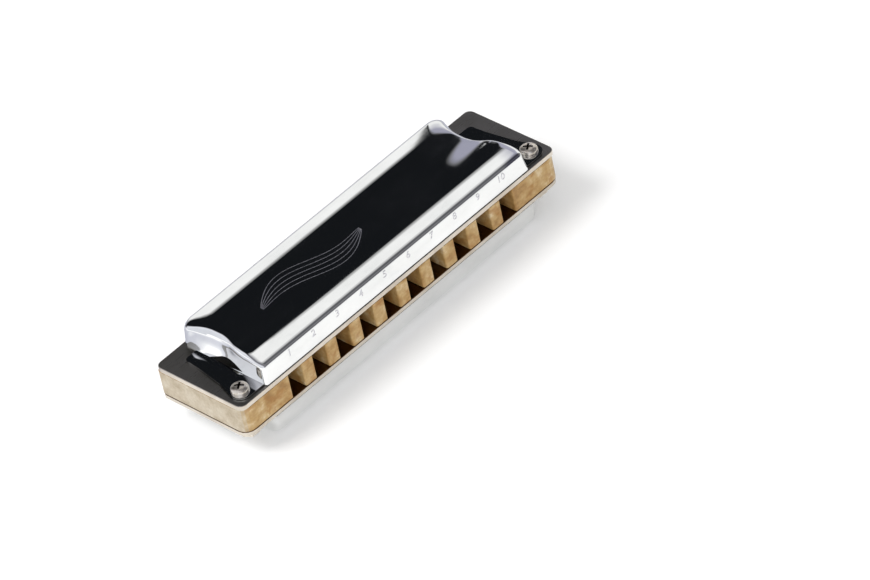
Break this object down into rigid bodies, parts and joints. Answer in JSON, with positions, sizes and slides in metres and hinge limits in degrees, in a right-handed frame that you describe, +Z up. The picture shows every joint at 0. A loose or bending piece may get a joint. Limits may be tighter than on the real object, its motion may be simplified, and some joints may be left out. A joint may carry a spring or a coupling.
{
  "type": "diatonic harmonica",
  "caption": "Mouth organ with a wood-compound comb between bronze reed plates, a riveted reed for each note, and pressed steel covers open at the back.",
  "frame": {"origin": "centre of the bounding box on the table plane, under the middle of the lower cover", "axes": "+X along the length from the lowest note to the highest, -Y towards the player's mouth, +Z up through the upper cover"},
  "size_m": [0.1006, 0.0262, 0.0211],
  "materials": {
    "wood_compound": "matte, fine-fibred moulded wood compound",
    "bronze_plate": "satin phosphor bronze, cut edges pale",
    "bronze_reed": "milled phosphor bronze",
    "brass_rivet": "turned and headed",
    "polished_steel": "mirror polished pressed stainless steel",
    "nickel_screw": "bright nickel plate"
  },
  "bodies": {
    "harmonica_body": {"comb": "wood_compound", "upper_reed_plate": "bronze_plate", "lower_reed_plate": "bronze_plate", "upper_cover": "polished_steel", "lower_cover": "polished_steel", "blow_rivet_01": "brass_rivet", "blow_rivet_02": "brass_rivet", "blow_rivet_03": "brass_rivet", "blow_rivet_04": "brass_rivet", "blow_rivet_05": "brass_rivet", "blow_rivet_06": "brass_rivet", "blow_rivet_07": "brass_rivet", "blow_rivet_08": "brass_rivet", "blow_rivet_09": "brass_rivet", "blow_rivet_10": "brass_rivet", "draw_rivet_01": "brass_rivet", "draw_rivet_02": "brass_rivet", "draw_rivet_03": "brass_rivet", "draw_rivet_04": "brass_rivet", "draw_rivet_05": "brass_rivet", "draw_rivet_06": "brass_rivet", "draw_rivet_07": "brass_rivet", "draw_rivet_08": "brass_rivet", "draw_rivet_09": "brass_rivet", "draw_rivet_10": "brass_rivet", "cover_screw_left": "nickel_screw", "cover_screw_right": "nickel_screw", "cover_nut_left": "nickel_screw", "cover_nut_right": "nickel_screw", "plate_screw_1": "nickel_screw", "plate_screw_2": "nickel_screw", "plate_screw_3": "nickel_screw", "plate_screw_4": "nickel_screw", "plate_screw_5": "nickel_screw"},
    "blow_reed_01_body": {"blow_reed_01": "bronze_reed"},
    "blow_reed_02_body": {"blow_reed_02": "bronze_reed"},
    "blow_reed_03_body": {"blow_reed_03": "bronze_reed"},
    "blow_reed_04_body": {"blow_reed_04": "bronze_reed"},
    "blow_reed_05_body": {"blow_reed_05": "bronze_reed"},
    "blow_reed_06_body": {"blow_reed_06": "bronze_reed"},
    "blow_reed_07_body": {"blow_reed_07": "bronze_reed"},
    "blow_reed_08_body": {"blow_reed_08": "bronze_reed"},
    "blow_reed_09_body": {"blow_reed_09": "bronze_reed"},
    "blow_reed_10_body": {"blow_reed_10": "bronze_reed"},
    "draw_reed_01_body": {"draw_reed_01": "bronze_reed"},
    "draw_reed_02_body": {"draw_reed_02": "bronze_reed"},
    "draw_reed_03_body": {"draw_reed_03": "bronze_reed"},
    "draw_reed_04_body": {"draw_reed_04": "bronze_reed"},
    "draw_reed_05_body": {"draw_reed_05": "bronze_reed"},
    "draw_reed_06_body": {"draw_reed_06": "bronze_reed"},
    "draw_reed_07_body": {"draw_reed_07": "bronze_reed"},
    "draw_reed_08_body": {"draw_reed_08": "bronze_reed"},
    "draw_reed_09_body": {"draw_reed_09": "bronze_reed"},
    "draw_reed_10_body": {"draw_reed_10": "bronze_reed"}
  },
  "joints": [
    {"name": "blow_reed_01_bend", "type": "hinge", "parent": "harmonica_body", "child": "blow_reed_01_body", "pos_m": [-0.03375, 0.007, 0.0135], "axis": [1, 0, 0], "range_deg": [-2.5, 2.5], "stiffness_Nm_per_rad": 0.01},
    {"name": "blow_reed_02_bend", "type": "hinge", "parent": "harmonica_body", "child": "blow_reed_02_body", "pos_m": [-0.02625, 0.00627, 0.0135], "axis": [1, 0, 0], "range_deg": [-2.5, 2.5], "stiffness_Nm_per_rad": 0.01},
    {"name": "blow_reed_03_bend", "type": "hinge", "parent": "harmonica_body", "child": "blow_reed_03_body", "pos_m": [-0.01875, 0.00553, 0.0135], "axis": [1, 0, 0], "range_deg": [-2.5, 2.5], "stiffness_Nm_per_rad": 0.01},
    {"name": "blow_reed_04_bend", "type": "hinge", "parent": "harmonica_body", "child": "blow_reed_04_body", "pos_m": [-0.01125, 0.0048, 0.0135], "axis": [1, 0, 0], "range_deg": [-2.5, 2.5], "stiffness_Nm_per_rad": 0.01},
    {"name": "blow_reed_05_bend", "type": "hinge", "parent": "harmonica_body", "child": "blow_reed_05_body", "pos_m": [-0.00375, 0.00407, 0.0135], "axis": [1, 0, 0], "range_deg": [-2.5, 2.5], "stiffness_Nm_per_rad": 0.01},
    {"name": "blow_reed_06_bend", "type": "hinge", "parent": "harmonica_body", "child": "blow_reed_06_body", "pos_m": [0.00375, 0.00333, 0.0135], "axis": [1, 0, 0], "range_deg": [-2.5, 2.5], "stiffness_Nm_per_rad": 0.01},
    {"name": "blow_reed_07_bend", "type": "hinge", "parent": "harmonica_body", "child": "blow_reed_07_body", "pos_m": [0.01125, 0.0026, 0.0135], "axis": [1, 0, 0], "range_deg": [-2.5, 2.5], "stiffness_Nm_per_rad": 0.01},
    {"name": "blow_reed_08_bend", "type": "hinge", "parent": "harmonica_body", "child": "blow_reed_08_body", "pos_m": [0.01875, 0.00187, 0.0135], "axis": [1, 0, 0], "range_deg": [-2.5, 2.5], "stiffness_Nm_per_rad": 0.01},
    {"name": "blow_reed_09_bend", "type": "hinge", "parent": "harmonica_body", "child": "blow_reed_09_body", "pos_m": [0.02625, 0.00113, 0.0135], "axis": [1, 0, 0], "range_deg": [-2.5, 2.5], "stiffness_Nm_per_rad": 0.01},
    {"name": "blow_reed_10_bend", "type": "hinge", "parent": "harmonica_body", "child": "blow_reed_10_body", "pos_m": [0.03375, 0.0004, 0.0135], "axis": [1, 0, 0], "range_deg": [-2.5, 2.5], "stiffness_Nm_per_rad": 0.01},
    {"name": "draw_reed_01_bend", "type": "hinge", "parent": "harmonica_body", "child": "draw_reed_01_body", "pos_m": [-0.03375, -0.0082, 0.00581], "axis": [1, 0, 0], "range_deg": [-2.5, 2.5], "stiffness_Nm_per_rad": 0.01},
    {"name": "draw_reed_02_bend", "type": "hinge", "parent": "harmonica_body", "child": "draw_reed_02_body", "pos_m": [-0.02625, -0.0082, 0.00581], "axis": [1, 0, 0], "range_deg": [-2.5, 2.5], "stiffness_Nm_per_rad": 0.01},
    {"name": "draw_reed_03_bend", "type": "hinge", "parent": "harmonica_body", "child": "draw_reed_03_body", "pos_m": [-0.01875, -0.0082, 0.00581], "axis": [1, 0, 0], "range_deg": [-2.5, 2.5], "stiffness_Nm_per_rad": 0.01},
    {"name": "draw_reed_04_bend", "type": "hinge", "parent": "harmonica_body", "child": "draw_reed_04_body", "pos_m": [-0.01125, -0.0082, 0.00581], "axis": [1, 0, 0], "range_deg": [-2.5, 2.5], "stiffness_Nm_per_rad": 0.01},
    {"name": "draw_reed_05_bend", "type": "hinge", "parent": "harmonica_body", "child": "draw_reed_05_body", "pos_m": [-0.00375, -0.0082, 0.00581], "axis": [1, 0, 0], "range_deg": [-2.5, 2.5], "stiffness_Nm_per_rad": 0.01},
    {"name": "draw_reed_06_bend", "type": "hinge", "parent": "harmonica_body", "child": "draw_reed_06_body", "pos_m": [0.00375, -0.0082, 0.00581], "axis": [1, 0, 0], "range_deg": [-2.5, 2.5], "stiffness_Nm_per_rad": 0.01},
    {"name": "draw_reed_07_bend", "type": "hinge", "parent": "harmonica_body", "child": "draw_reed_07_body", "pos_m": [0.01125, -0.0082, 0.00581], "axis": [1, 0, 0], "range_deg": [-2.5, 2.5], "stiffness_Nm_per_rad": 0.01},
    {"name": "draw_reed_08_bend", "type": "hinge", "parent": "harmonica_body", "child": "draw_reed_08_body", "pos_m": [0.01875, -0.0082, 0.00581], "axis": [1, 0, 0], "range_deg": [-2.5, 2.5], "stiffness_Nm_per_rad": 0.01},
    {"name": "draw_reed_09_bend", "type": "hinge", "parent": "harmonica_body", "child": "draw_reed_09_body", "pos_m": [0.02625, -0.0082, 0.00581], "axis": [1, 0, 0], "range_deg": [-2.5, 2.5], "stiffness_Nm_per_rad": 0.01},
    {"name": "draw_reed_10_bend", "type": "hinge", "parent": "harmonica_body", "child": "draw_reed_10_body", "pos_m": [0.03375, -0.0082, 0.00581], "axis": [1, 0, 0], "range_deg": [-2.5, 2.5], "stiffness_Nm_per_rad": 0.01}
  ]
}
